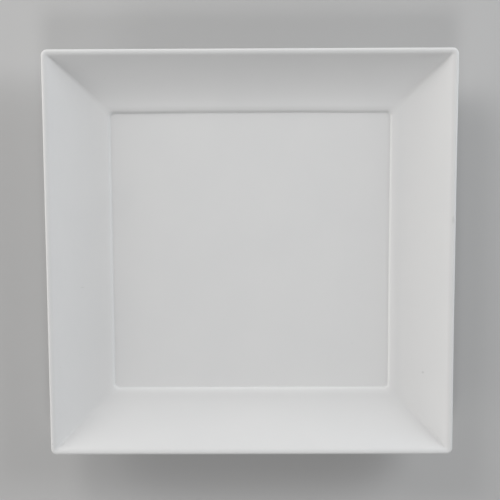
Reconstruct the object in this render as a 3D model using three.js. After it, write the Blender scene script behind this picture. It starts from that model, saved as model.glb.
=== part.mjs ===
// Square charger plate in unglazed white earthenware, lying on its foot ring.
// Millimetres, +Z up. The origin is the centre of the plane that the foot ring stands on.
// The clay body is put together as a slab-built plate is: a flat well slab, four coved rim walls
// that butt against its edges and meet in mitres at the corners, and a foot ring under the slab.
// Luted seams have no gap, so neighbours share the faces that they meet on.

import * as THREE from "three";

// Sizes over all
const PLATE_WIDTH = 330; // outer edge of the lip to the opposite outer edge
const RIM_RISE = 24; // well floor up to the top of the lip

// Well
const WELL_WIDTH = 226.6; // flat floor, edge to edge
const SLAB_THICKNESS = 6;

// Step round the well. Each run goes on outwards from the last. Slopes are in degrees above the level.
const HOLLOW_RUN = 1.1; // foot of the step to its steepest place
const BULGE_RUN = 1.6; // on to its shoulder
const SHOULDER_RUN = 4; // on to its crest
const STEP_SLOPE = 62;
const SHOULDER_SLOPE = 20;
const CREST_SLOPE = 6.5;

// Lip
const LIP_SLOPE = 44; // where the rim meets the lip
const BROW_RADIUS = 5; // turn from the rim to the top of the lip
const EDGE_RADIUS = 1.7; // outer edge
const UNDER_RADIUS = 3.2; // turn under the outer edge

// Corner radii, seen from above
const WELL_CORNER = 4;
const SHOULDER_CORNER = 5; // at the shoulder of the step
const CREST_CORNER = 3; // at its crest, where the mitre crease starts
const MITRE_CORNER = 1.2; // at the lip, where the crease ends
const OUTER_CORNER = 5;

// Foot ring
const FOOT_HEIGHT = 5;
const FOOT_WIDTH = 7;
const FOOT_INSET = 4; // well edge in to the ring's outer face
const FOOT_CORNER = 4; // radius of its inner corners, seen from above
const FOOT_EDGE = 1.5; // rounding of the two edges that it stands on

// Finish
const BISQUE_COLOUR = 0xd7d7d6;
const BISQUE_ROUGHNESS = 0.85;

// Steps along curves
const CORNER_STEPS = 4; // in each half of a corner
const STEP_STEPS = 4; // in each of its three bends
const COVE_STEPS = 12;
const LIP_STEPS = 4; // in each of its three bends
const UNDERSIDE_STEPS = 10;
const FOOT_EDGE_STEPS = 4;

// Reach of a curve's end handles, as a share of its chord
const HANDLE_REACH = 0.31;

const QUARTER_TURN = Math.PI / 2;
const EIGHTH_TURN = Math.PI / 4;

const wellHalf = WELL_WIDTH / 2;
const floorZ = FOOT_HEIGHT + SLAB_THICKNESS;
const { degToRad, mapLinear } = THREE.MathUtils;

// One side of a rounded square, the side that faces -Y, from the diagonal at its left end
// to the diagonal at its right end.
function sideRun(half, radius) {
  const centre = half - radius;
  const run = [];
  for (const end of [-1, 1]) {
    for (let step = 0; step <= CORNER_STEPS; step++) {
      const turn = (step / CORNER_STEPS) * EIGHTH_TURN;
      const angle = end < 0 ? turn - QUARTER_TURN - EIGHTH_TURN : turn - QUARTER_TURN;
      const x = end * centre + radius * Math.cos(angle);
      const y = radius * Math.sin(angle) - centre;
      run.push(new THREE.Vector2(x, y));
    }
  }
  return run;
}

// The whole rounded square: four sides, each a quarter turn from the last.
function squareRun(half, radius) {
  let side = sideRun(half, radius).slice(0, -1);
  const run = [];
  for (let turn = 0; turn < 4; turn++) {
    run.push(...side);
    side = side.map(({ x, y }) => new THREE.Vector2(-y, x));
  }
  return run;
}

// A cubic curve that leaves its start at one slope and reaches its end at another, rising outwards.
function slopedCurve(start, startSlope, end, endSlope) {
  const reach = HANDLE_REACH * start.distanceTo(end);
  const handle = (slope) => new THREE.Vector2(reach * Math.cos(slope), reach * Math.sin(slope));
  const leaving = start.clone().add(handle(startSlope));
  const reaching = end.clone().sub(handle(endSlope));
  return new THREE.CubicBezierCurve(start, leaving, reaching, end);
}

// A round stretch that leaves a point at one slope and turns to another.
function bend(start, slope, endSlope, radius) {
  const side = endSlope > slope ? 1 : -1;
  const x = start.x - side * radius * Math.sin(slope);
  const y = start.y + side * radius * Math.cos(slope);
  const lean = side * QUARTER_TURN;
  return new THREE.EllipseCurve(x, y, radius, radius, slope - lean, endSlope - lean, side < 0);
}

// The same, given how far outwards it goes while it turns.
function bendOut(start, slope, endSlope, run) {
  return bend(start, slope, endSlope, run / Math.abs(Math.sin(endSlope) - Math.sin(slope)));
}

// A curve's points after its first as stations of a section. A station is a distance from the
// plate's middle, a height, and the corner radius there, which changes evenly with that distance.
function stations(curve, steps, firstCorner, lastCorner) {
  const points = curve.getPoints(steps);
  const first = points[0].x;
  const last = points[steps].x;
  return points.slice(1).map(({ x, y }) => {
    return { half: x, z: y, corner: mapLinear(x, first, last, firstCorner, lastCorner) };
  });
}

// Closed section of a rim wall: up the step, out along the cove, over the lip, back underneath
// to the slab's lower edge, and up the face that butts against the slab.
function wallSection() {
  const stepSlope = degToRad(STEP_SLOPE);
  const shoulderSlope = degToRad(SHOULDER_SLOPE);
  const crestSlope = degToRad(CREST_SLOPE);
  const lipSlope = degToRad(LIP_SLOPE);
  const floorEdge = new THREE.Vector2(wellHalf, floorZ);
  const slabEdge = new THREE.Vector2(wellHalf, FOOT_HEIGHT);

  const hollow = bendOut(floorEdge, 0, stepSlope, HOLLOW_RUN);
  const bulge = bendOut(hollow.getPoint(1), stepSlope, shoulderSlope, BULGE_RUN);
  const shoulder = bendOut(bulge.getPoint(1), shoulderSlope, crestSlope, SHOULDER_RUN);

  // The lip goes up to its top, out to the plate's outer edge, and in under it.
  const lipTop = new THREE.Vector2(PLATE_WIDTH / 2 - EDGE_RADIUS, floorZ + RIM_RISE);
  const browReach = new THREE.Vector2(Math.sin(lipSlope), 1 - Math.cos(lipSlope));
  const browStart = lipTop.clone().addScaledVector(browReach, -BROW_RADIUS);
  const brow = bend(browStart, lipSlope, 0, BROW_RADIUS);
  const edge = bend(lipTop, 0, -QUARTER_TURN, EDGE_RADIUS);
  const under = bend(edge.getPoint(1), -QUARTER_TURN, lipSlope - 2 * QUARTER_TURN, UNDER_RADIUS);
  const topCorner = OUTER_CORNER - EDGE_RADIUS;

  const cove = slopedCurve(shoulder.getPoint(1), crestSlope, brow.getPoint(0), lipSlope);
  const underside = slopedCurve(slabEdge, 0, under.getPoint(1), lipSlope);
  const undersideInwards = stations(underside, UNDERSIDE_STEPS, WELL_CORNER, OUTER_CORNER).reverse();

  return [
    { half: floorEdge.x, z: floorEdge.y, corner: WELL_CORNER },
    ...stations(hollow, STEP_STEPS, WELL_CORNER, WELL_CORNER),
    ...stations(bulge, STEP_STEPS, WELL_CORNER, SHOULDER_CORNER),
    ...stations(shoulder, STEP_STEPS, SHOULDER_CORNER, CREST_CORNER),
    ...stations(cove, COVE_STEPS, CREST_CORNER, MITRE_CORNER),
    ...stations(brow, LIP_STEPS, MITRE_CORNER, topCorner),
    ...stations(edge, LIP_STEPS, topCorner, OUTER_CORNER),
    ...stations(under, LIP_STEPS, OUTER_CORNER, OUTER_CORNER),
    ...undersideInwards.slice(1),
    { half: slabEdge.x, z: slabEdge.y, corner: WELL_CORNER },
  ];
}

// Closed section of the foot ring: down its outer face, across the face that it stands on,
// and up its inner face to the slab.
function footSection() {
  const outer = wellHalf - FOOT_INSET;
  const inner = outer - FOOT_WIDTH;
  const outerFaceEnd = new THREE.Vector2(outer, FOOT_EDGE);
  const outerEdge = bend(outerFaceEnd, -QUARTER_TURN, -2 * QUARTER_TURN, FOOT_EDGE);
  const innerEdgeStart = new THREE.Vector2(inner + FOOT_EDGE, 0);
  const innerEdge = bend(innerEdgeStart, -2 * QUARTER_TURN, -3 * QUARTER_TURN, FOOT_EDGE);
  const points = [
    new THREE.Vector2(outer, FOOT_HEIGHT),
    ...outerEdge.getPoints(FOOT_EDGE_STEPS),
    ...innerEdge.getPoints(FOOT_EDGE_STEPS),
    new THREE.Vector2(inner, FOOT_HEIGHT),
  ];
  return points.map(({ x, y }) => ({ half: x, z: y, corner: FOOT_CORNER + x - inner }));
}

// Carries a closed section along a run of points. A closed run makes a ring, and an open one
// gets a flat cap at each end.
function sweep(section, runOf, closed) {
  const runs = section.map(({ half, corner }) => runOf(half, corner));
  const length = runs[0].length;
  const spans = closed ? length : length - 1;
  const position = runs.flatMap((run, i) => run.flatMap(({ x, y }) => [x, y, section[i].z]));
  const at = (i, k) => (i % section.length) * length + (k % length);
  const index = [];
  for (let i = 0; i < section.length; i++) {
    for (let k = 0; k < spans; k++) {
      index.push(at(i, k), at(i + 1, k), at(i + 1, k + 1));
      index.push(at(i, k), at(i + 1, k + 1), at(i, k + 1));
    }
  }
  if (!closed) {
    const last = length - 1;
    const outline = runs.map((run, i) => new THREE.Vector2(run[0].length(), section[i].z));
    for (const [a, b, c] of THREE.ShapeUtils.triangulateShape(outline, [])) {
      index.push(at(a, 0), at(b, 0), at(c, 0));
      index.push(at(c, last), at(b, last), at(a, last));
    }
  }
  const geometry = new THREE.BufferGeometry();
  geometry.setAttribute("position", new THREE.Float32BufferAttribute(position, 3));
  geometry.setIndex(index);
  return geometry;
}

// A named piece of the plate with its own bisque finish.
function piece(name, geometry) {
  const bisque = new THREE.MeshStandardMaterial({
    color: BISQUE_COLOUR,
    roughness: BISQUE_ROUGHNESS,
    metalness: 0,
  });
  const mesh = new THREE.Mesh(geometry, bisque);
  mesh.name = name;
  return mesh;
}

// Flat slab whose top is the floor of the well.
function wellSlab() {
  const outline = new THREE.Shape(squareRun(wellHalf, WELL_CORNER));
  const slab = new THREE.ExtrudeGeometry(outline, { depth: SLAB_THICKNESS, bevelEnabled: false });
  const mesh = piece("well_slab", slab);
  mesh.position.z = FOOT_HEIGHT;
  return mesh;
}

// Four like walls, each a quarter turn from the last.
function rimWalls() {
  const wall = sweep(wallSection(), sideRun, false);
  return ["rim_front", "rim_right", "rim_back", "rim_left"].map((name, turn) => {
    const mesh = piece(name, wall);
    mesh.rotation.z = turn * QUARTER_TURN;
    return mesh;
  });
}

// Low square ring under the slab, near the well's edge.
function footRing() {
  return piece("foot_ring", sweep(footSection(), squareRun, true));
}

const plate = new THREE.Group();
plate.add(wellSlab(), ...rimWalls(), footRing());

export default plate;
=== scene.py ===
import math

import bmesh
import bpy
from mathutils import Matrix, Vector, geometry


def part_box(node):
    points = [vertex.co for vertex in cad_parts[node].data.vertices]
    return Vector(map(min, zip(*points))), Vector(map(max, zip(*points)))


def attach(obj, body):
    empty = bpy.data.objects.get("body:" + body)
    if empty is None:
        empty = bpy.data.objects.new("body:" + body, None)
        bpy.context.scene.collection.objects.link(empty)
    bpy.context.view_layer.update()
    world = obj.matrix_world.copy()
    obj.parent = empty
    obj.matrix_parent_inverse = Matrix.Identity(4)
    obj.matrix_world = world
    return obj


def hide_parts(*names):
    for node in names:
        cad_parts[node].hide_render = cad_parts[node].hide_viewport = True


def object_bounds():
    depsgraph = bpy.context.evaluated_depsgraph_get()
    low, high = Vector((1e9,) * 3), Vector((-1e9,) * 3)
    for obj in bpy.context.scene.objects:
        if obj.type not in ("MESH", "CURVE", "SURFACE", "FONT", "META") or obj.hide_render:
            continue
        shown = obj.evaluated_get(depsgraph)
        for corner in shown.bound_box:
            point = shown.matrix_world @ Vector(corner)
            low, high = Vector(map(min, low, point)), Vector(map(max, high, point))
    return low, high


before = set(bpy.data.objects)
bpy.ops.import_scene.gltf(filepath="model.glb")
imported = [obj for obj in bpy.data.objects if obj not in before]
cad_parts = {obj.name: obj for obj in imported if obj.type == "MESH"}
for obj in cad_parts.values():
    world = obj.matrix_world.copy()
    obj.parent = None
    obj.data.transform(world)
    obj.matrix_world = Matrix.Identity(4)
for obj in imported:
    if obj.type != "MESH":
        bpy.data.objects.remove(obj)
cad_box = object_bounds()
bpy.ops.object.select_all(action="DESELECT")

# Well floor
# The flat square bottom of the plate, in white earthenware fired without a glaze.
# The clay body is one cast piece, so its mesh starts here and grows outwards ring by ring.

MM = 0.001
CORNER_STEPS = 8  # along each rounded corner
SIDE_CUTS = 31  # along each straight side
FLOOR_MARGIN = 12 * MM  # between the middle of the floor and its edge
SETTLING = 0.1 * MM  # the middle of the base sinks this much in the kiln
DRAFT = 0.02 * MM  # fall across a narrow flat, so that the clay leaves the mould
WELL_CORNER = 4 * MM

well_low, well_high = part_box("well_slab")
floor_z = well_high.z
well_half = well_high.x
grid_steps = CORNER_STEPS + 1 + SIDE_CUTS


def lay_grid(half, height):
    """Adds a flat sheet that has as many points round its edge as a ring has."""
    bpy.ops.mesh.primitive_grid_add(
        x_subdivisions=grid_steps,
        y_subdivisions=grid_steps,
        size=2 * half,
        location=(0, 0, height),
    )


def bridge_open_edges():
    """Joins the clay's open edge to the loose ring or sheet that was laid last."""
    bpy.ops.mesh.select_all(action="DESELECT")
    bpy.ops.mesh.select_non_manifold(use_multi_face=False, use_non_contiguous=False, use_verts=False)
    bpy.ops.mesh.bridge_edge_loops()


def lay_ring(half, height, corner):
    """Adds a rounded square, seen from above, and carries the clay on to it."""
    bpy.ops.mesh.primitive_plane_add(size=2 * half, location=(0, 0, height))
    bpy.ops.mesh.bevel(offset=corner, segments=CORNER_STEPS, affect="VERTICES")
    bpy.ops.mesh.delete(type="ONLY_FACE")
    mesh = bmesh.from_edit_mesh(plate.data)
    for edge in mesh.edges:
        edge.select_set(edge.is_wire and edge.calc_length() > half)
    bmesh.update_edit_mesh(plate.data)
    bpy.ops.mesh.subdivide(number_cuts=SIDE_CUTS)
    bridge_open_edges()


bpy.ops.object.add(type="MESH", enter_editmode=True)
plate = bpy.context.object
plate.name = "bisque_body"
bpy.ops.mesh.select_mode(type="EDGE")
lay_grid(well_half - FLOOR_MARGIN, floor_z - SETTLING)

# Step round the well
# A low rounded rise between the floor and the rim, pressed into the clay by the mould.
# A small fillet joins it to the floor, and its crest runs on into the rim.

HOLLOW_REACH = 1.1 * MM  # outwards, from the foot of the step to its steepest place
BULGE_REACH = 1.6 * MM  # on to its shoulder
SHOULDER_REACH = 4 * MM  # on to its crest
STEP_SLOPE = 62  # degrees, at the steepest place
SHOULDER_SLOPE = 20
CREST_SLOPE = 6.5
STEP_RINGS = 6  # in the hollow, and again in the bulge
SHOULDER_RINGS = 4
FLAT_BAND = 1.0 * MM  # flat floor kept beside the step
SHOULDER_CORNER = 5 * MM
CREST_CORNER = 3 * MM


def along(slope):
    """The direction of a slope in degrees, as distance outwards and height."""
    return Vector((math.cos(math.radians(slope)), math.sin(math.radians(slope))))


def bend(start, slope, end_slope, radius, steps):
    """Points of an arc that leaves a point at one slope and ends at another, without the first."""
    side = 1 if end_slope > slope else -1
    centre = start + side * radius * along(slope + 90)
    turns = [slope + (end_slope - slope) * (step + 1) / steps for step in range(steps)]
    return [centre - side * radius * along(turn + 90) for turn in turns]


def bend_out(start, slope, end_slope, reach, steps):
    """Points of an arc that turns from one slope to another while it goes a distance outwards."""
    radius = reach / abs(along(end_slope).y - along(slope).y)
    return bend(start, slope, end_slope, radius, steps)


def lay_rings(points, first_corner, last_corner):
    """Lays a ring at each point of a section, with the corner radius changing evenly."""
    for count, (half, height) in enumerate(points, 1):
        share = count / len(points)
        lay_ring(half, height, first_corner + (last_corner - first_corner) * share)


step_foot = Vector((well_half, floor_z))
lay_ring(step_foot.x - FLAT_BAND, floor_z - DRAFT, WELL_CORNER - FLAT_BAND)
lay_ring(step_foot.x, floor_z, WELL_CORNER)
hollow = bend_out(step_foot, 0, STEP_SLOPE, HOLLOW_REACH, STEP_RINGS)
bulge = bend_out(hollow[-1], STEP_SLOPE, SHOULDER_SLOPE, BULGE_REACH, STEP_RINGS)
shoulder = bend_out(bulge[-1], SHOULDER_SLOPE, CREST_SLOPE, SHOULDER_REACH, SHOULDER_RINGS)
lay_rings(hollow, WELL_CORNER, WELL_CORNER)
lay_rings(bulge, WELL_CORNER, SHOULDER_CORNER)
lay_rings(shoulder, SHOULDER_CORNER, CREST_CORNER)

# Rim
# Four coved walls of the same casting, rising from the step and getting steeper towards the lip.
# They meet in mitre creases, sharp under the lip and softer near the well.

LIP_SLOPE = 44
BROW_RADIUS = 5 * MM  # of the turn from the wall to the top of the lip
EDGE_RADIUS = 1.7 * MM  # of the lip's outer edge
MITRE_CORNER = 1.2 * MM
HANDLE_REACH = 0.31  # of the chord
COVE_RINGS = 22

plate_half = cad_box[1].x
lip_top = Vector((plate_half - EDGE_RADIUS, cad_box[1].z))
brow_drop = Vector((math.sin(math.radians(LIP_SLOPE)), 1 - math.cos(math.radians(LIP_SLOPE))))
lip_start = lip_top - BROW_RADIUS * brow_drop


def sweep(start, slope, end, end_slope, steps):
    """Points of a smooth curve from one point and slope to another, without the first."""
    reach = HANDLE_REACH * (end - start).length
    leaving = start + reach * along(slope)
    reaching = end - reach * along(end_slope)
    return geometry.interpolate_bezier(start, leaving, reaching, end, steps + 1)[1:]


cove = sweep(shoulder[-1], CREST_SLOPE, lip_start, LIP_SLOPE, COVE_RINGS)
lay_rings(cove, CREST_CORNER, MITRE_CORNER)

# Lip
# The rounded edge of the rim, wiped smooth with a sponge before firing.
# Its outer corners are rounded too, and its inner line runs into the mitre creases.

OUTER_CORNER = 5 * MM
UNDER_RADIUS = 3.2 * MM
BROW_RINGS = 6
EDGE_RINGS = 8
UNDER_RINGS = 5

brow = bend(lip_start, LIP_SLOPE, 0, BROW_RADIUS, BROW_RINGS)
outer_edge = bend(brow[-1], 0, -90, EDGE_RADIUS, EDGE_RINGS)
under_edge = bend(outer_edge[-1], -90, LIP_SLOPE - 180, UNDER_RADIUS, UNDER_RINGS)
lay_rings(brow, MITRE_CORNER, OUTER_CORNER - EDGE_RADIUS)
lay_rings(outer_edge, OUTER_CORNER - EDGE_RADIUS, OUTER_CORNER)
lay_rings(under_edge, OUTER_CORNER, OUTER_CORNER)

# Underside
# The back of the rim walls, a smooth curve from the lip in to the flat of the base.
# It was formed by the other half of the mould, so it has no step.

UNDERSIDE_RINGS = 18

slab_under = well_low.z
base_edge = Vector((well_half, slab_under))
underside = sweep(base_edge, 0, under_edge[-1], LIP_SLOPE, UNDERSIDE_RINGS)[:-1]
lay_rings(underside[::-1] + [base_edge], OUTER_CORNER, WELL_CORNER)

# Foot ring
# A low square ring of the same clay that the plate stands on, filleted into the base on both sides.
# Its edges are rounded, and the flat strip between them is rubbed level after firing.

FOOT_WIDTH = 7 * MM
FOOT_EDGE = 1.5 * MM
FOOT_FILLET = 1.2 * MM
FOOT_CORNER = 4 * MM  # of the inner face
FILLET_RINGS = 4
FOOT_EDGE_RINGS = 5

foot_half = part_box("foot_ring")[1].x
foot_inner = foot_half - FOOT_WIDTH

outer_flat = Vector((foot_half + FOOT_FILLET, slab_under - 2 * DRAFT))
outer_fillet = bend(outer_flat, 180, 270, FOOT_FILLET, FILLET_RINGS)
outer_face_end = Vector((foot_half, FOOT_EDGE))
outer_round = bend(outer_face_end, 270, 180, FOOT_EDGE, FOOT_EDGE_RINGS)
inner_edge_start = Vector((foot_inner + FOOT_EDGE, DRAFT))
inner_round = bend(inner_edge_start, 180, 90, FOOT_EDGE, FOOT_EDGE_RINGS)
inner_face_end = Vector((foot_inner, slab_under - FOOT_FILLET))
inner_fillet = bend(inner_face_end, 90, 180, FOOT_FILLET, FILLET_RINGS)

for half, height in [
    outer_flat + Vector((FLAT_BAND, DRAFT)),
    outer_flat,
    *outer_fillet,
    outer_face_end,
    *outer_round,
    inner_edge_start,
    *inner_round,
    inner_face_end,
    *inner_fillet,
    inner_fillet[-1] - Vector((FLAT_BAND, DRAFT)),
]:
    lay_ring(half, height, max(FOOT_CORNER + half - foot_inner, FLAT_BAND))

lay_grid(foot_inner - FLOOR_MARGIN, slab_under - SETTLING)
bridge_open_edges()

bpy.ops.mesh.select_all(action="SELECT")
bpy.ops.mesh.normals_make_consistent(inside=False)

# Firing
# The kiln draws the clay a little out of true, all through its thickness.
# The lip on the right bows in, and the line between the well and the back of the rim bows out.

SIDE_BOW = 0.3 * MM
SIDE_HOLD = 40 * MM  # half of the stretch that moves the whole way
SIDE_REACH = 125 * MM  # how far the bow fades out beside it
WELL_BOW = 0.45 * MM
WELL_HOLD = 45 * MM
WELL_REACH = 48 * MM


def draw_out_of_true(low, high, move, reach):
    """Moves the points in a box, and what lies within reach of them by less."""
    mesh = bmesh.from_edit_mesh(plate.data)
    for point in mesh.verts:
        inside = all(a <= b <= c for a, b, c in zip(low, point.co, high))
        point.select_set(inside)
    bmesh.update_edit_mesh(plate.data)
    bpy.ops.transform.translate(
        value=move,
        use_proportional_edit=True,
        proportional_edit_falloff="SMOOTH",
        proportional_size=reach,
    )


bpy.ops.mesh.select_mode(type="VERT")
bpy.ops.mesh.select_all(action="DESELECT")
draw_out_of_true(
    (plate_half - EDGE_RADIUS, -SIDE_HOLD, 0),
    (plate_half, SIDE_HOLD, lip_top.y),
    (-SIDE_BOW, 0, 0),
    SIDE_REACH,
)
draw_out_of_true(
    (-WELL_HOLD, well_half, floor_z),
    (WELL_HOLD, bulge[-1].x, bulge[-1].y),
    (0, WELL_BOW, 0),
    WELL_REACH,
)
bpy.ops.object.mode_set(mode="OBJECT")
bpy.ops.object.shade_smooth()

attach(plate, "root")
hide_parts("well_slab", "rim_front", "rim_right", "rim_back", "rim_left", "foot_ring")

# Bisque
# White earthenware fired once and left without a glaze: matte, chalky and neutral in colour.
# It has a sandy grain, faint clouds, pinholes with painted shade in them, four small marks, and grey
# rubbed into the foot.

CLAY_DARK = (0.676, 0.678, 0.68, 1)
CLAY_LIGHT = (0.69, 0.691, 0.691, 1)
# painted shade inside the pinholes
PINHOLE_SHADE_COLOUR = (0.56, 0.56, 0.555, 1)
MARK_COLOUR = (0.47, 0.47, 0.46, 1)
RUBBED_COLOUR = (0.5, 0.495, 0.485, 1)
CLOUDS_PER_METRE = 24
CLOUD_DETAIL = 5
GRAINS_PER_METRE = 1100
GRAIN_DETAIL = 3
GRAIN_SHARE = 0.25  # of the grain in the colour, beside the clouds
GRAIN_DEPTH = 0.03 * MM
RELIEF_STRENGTH = 0.5
NOISE_LOW = 0.3  # nearly all of a noise lies between these two
NOISE_HIGH = 0.7
PINHOLE_CELLS_PER_METRE = 120
PINHOLE_RADIUS = 0.35 * MM
PINHOLE_SHARE = 0.3  # of the cells that hold one
RUBBED_HEIGHT = 0.5 * MM  # above the table
RUBBED_SHARE = 0.6  # of the grey at the table
MARK_CORE = 0.3  # share of a mark's reach that has its whole strength
SPECULAR_LEVEL = 0.3
SMOOTHEST = 0.82  # roughness
ROUGHEST = 0.9

# Place and reach along X, Y and Z, in millimetres, and strength
RIM_SPECK = ((141.7, -99.4, 21), (1.6, 1.4, 1.6), 0.45)
LIP_SCUFF = ((162.5, 28.6, 34.8), (1.2, 4.6, 1.5), 0.32)
CORNER_CHIP = ((-163.5, -156.1, 34.9), (0.7, 1.1, 1), 0.4)
RIM_SCRATCH = ((-138.2, -27.9, 19.3), (2.2, 0.7, 2.2), 0.25)

bisque = bpy.data.materials.new("bisque")
bisque.use_nodes = True
nodes = bisque.node_tree.nodes
links = bisque.node_tree.links
shader = nodes["Principled BSDF"]
shader.inputs["Specular IOR Level"].default_value = SPECULAR_LEVEL


def add_node(kind, values, **settings):
    """Adds a node to the bisque with its settings, and fills its sockets by name or number."""
    node = nodes.new(kind)
    for name, setting in settings.items():
        setattr(node, name, setting)
    for socket, value in values.items():
        if isinstance(value, bpy.types.NodeSocket):
            links.new(value, node.inputs[socket])
        else:
            node.inputs[socket].default_value = value
    return node


def ramp(value, low, high, at_low, at_high):
    """Turns a range of a value into another range, smoothly."""
    sockets = {"Value": value, "From Min": low, "From Max": high, "To Min": at_low, "To Max": at_high}
    return add_node("ShaderNodeMapRange", sockets, interpolation_type="SMOOTHSTEP").outputs["Result"]


def blend(share, colour, other):
    """Blends two colours."""
    sockets = {"Factor": share, 6: colour, 7: other}
    return add_node("ShaderNodeMix", sockets, data_type="RGBA").outputs[2]


def noise(per_metre, detail):
    """A noise that runs all through the clay."""
    sockets = {"Vector": place, "Scale": per_metre, "Detail": detail}
    return add_node("ShaderNodeTexNoise", sockets).outputs["Fac"]


def calculate(operation, first, second):
    """Works out a value from two others."""
    return add_node("ShaderNodeMath", {0: first, 1: second}, operation=operation).outputs[0]


place = add_node("ShaderNodeTexCoord", {}).outputs["Object"]
clouds = noise(CLOUDS_PER_METRE, CLOUD_DETAIL)
grain = noise(GRAINS_PER_METRE, GRAIN_DETAIL)
unevenness = add_node("ShaderNodeMix", {"Factor": GRAIN_SHARE, 2: clouds, 3: grain}).outputs[0]
clay = blend(ramp(unevenness, NOISE_LOW, NOISE_HIGH, 0, 1), CLAY_DARK, CLAY_LIGHT)

cells = add_node("ShaderNodeTexVoronoi", {"Vector": place, "Scale": PINHOLE_CELLS_PER_METRE})
hole_edge = PINHOLE_RADIUS * PINHOLE_CELLS_PER_METRE
near_middle = ramp(cells.outputs["Distance"], hole_edge / 2, hole_edge, 1, 0)
lot = add_node("ShaderNodeSeparateColor", {"Color": cells.outputs["Color"]}).outputs["Red"]
has_hole = calculate("LESS_THAN", lot, PINHOLE_SHARE)
pinholes = calculate("MULTIPLY", near_middle, has_hole)
# The pinholes are painted darker, as painted shade inside the holes.
clay = blend(pinholes, clay, PINHOLE_SHADE_COLOUR)

for spot, reach, strength in (RIM_SPECK, LIP_SCUFF, CORNER_CHIP, RIM_SCRATCH):
    sockets = {"Vector": place, "Location": MM * Vector(spot), "Scale": MM * Vector(reach)}
    from_spot = add_node("ShaderNodeMapping", sockets, vector_type="TEXTURE").outputs[0]
    distance = add_node("ShaderNodeVectorMath", {0: from_spot}, operation="LENGTH").outputs["Value"]
    clay = blend(ramp(distance, MARK_CORE, 1, strength, 0), clay, MARK_COLOUR)

height = add_node("ShaderNodeSeparateXYZ", {"Vector": place}).outputs["Z"]
clay = blend(ramp(height, 0, RUBBED_HEIGHT, RUBBED_SHARE, 0), clay, RUBBED_COLOUR)

roughness = ramp(grain, NOISE_LOW, NOISE_HIGH, SMOOTHEST, ROUGHEST)
surface = calculate("SUBTRACT", grain, pinholes)
sockets = {"Height": surface, "Strength": RELIEF_STRENGTH, "Distance": GRAIN_DEPTH}
relief = add_node("ShaderNodeBump", sockets).outputs["Normal"]
links.new(clay, shader.inputs["Base Color"])
links.new(roughness, shader.inputs["Roughness"])
links.new(relief, shader.inputs["Normal"])
plate.data.materials.append(bisque)

# Floor, light and camera
# A plain pale floor and soft studio light. The camera looks almost straight down, from a little
# towards the side of the plate that is uppermost in the picture.

FLOOR_WIDTH = 12.0
FLOOR_COLOUR = (0.5, 0.5, 0.5, 1)
FLOOR_ROUGHNESS = 0.9
CAMERA_PLACE = (0.00978, 0.13952, 1.03642)
CAMERA_TURN = (-7.664, 0.544, -0.26)  # degrees about X, Y and Z
LENS_MM = 90.45
SENSOR_MM = 36
WORLD_STRENGTH = 0.205
WHITE = (1, 1, 1)
WARM = (1, 0.985, 0.965)
COOL = (0.9, 0.955, 1)
SOFTBOX_DISTANCE = 1.6
SOFTBOX_WIDTH = 0.6

bpy.ops.mesh.primitive_plane_add(size=FLOOR_WIDTH)
floor = bpy.context.object
floor.name = "floor"
floor_paint = bpy.data.materials.new("floor_paint")
floor_paint.use_nodes = True
floor_shader = floor_paint.node_tree.nodes["Principled BSDF"]
floor_shader.inputs["Base Color"].default_value = FLOOR_COLOUR
floor_shader.inputs["Roughness"].default_value = FLOOR_ROUGHNESS
floor.data.materials.append(floor_paint)


def softbox(name, azimuth, elevation, watts, colour):
    """Adds a square soft lamp that faces the plate from a direction, in degrees."""
    level = math.cos(math.radians(elevation))
    direction = Vector((
        level * math.cos(math.radians(azimuth)),
        level * math.sin(math.radians(azimuth)),
        math.sin(math.radians(elevation)),
    ))
    aim = (-direction).to_track_quat("-Z", "Y").to_euler()
    bpy.ops.object.light_add(type="AREA", location=SOFTBOX_DISTANCE * direction, rotation=aim)
    lamp = bpy.context.object
    lamp.name = name
    lamp.data.shape = "SQUARE"
    lamp.data.size = SOFTBOX_WIDTH
    lamp.data.energy = watts
    lamp.data.color = colour


softbox("left_key", 120, 30, 7.7, WARM)
softbox("left_edge", 150, 16, 9.6, WARM)
softbox("left_low", 210, 16, 5.1, WARM)
softbox("right_key", 30, 30, 6.8, WHITE)
softbox("right_edge", 30, 16, 8.4, COOL)
softbox("front_fill", 270, 50, 5.8, WHITE)

world = bpy.data.worlds.new("studio")
world.use_nodes = True
background = world.node_tree.nodes["Background"]
background.inputs["Strength"].default_value = WORLD_STRENGTH
background.inputs["Color"].default_value = (*WHITE, 1)
bpy.context.scene.world = world

bpy.ops.object.camera_add(location=CAMERA_PLACE, rotation=[math.radians(turn) for turn in CAMERA_TURN])
camera = bpy.context.object
camera.data.sensor_width = SENSOR_MM
camera.data.lens = LENS_MM
bpy.context.scene.camera = camera
bpy.context.scene.view_settings.view_transform = "Standard"
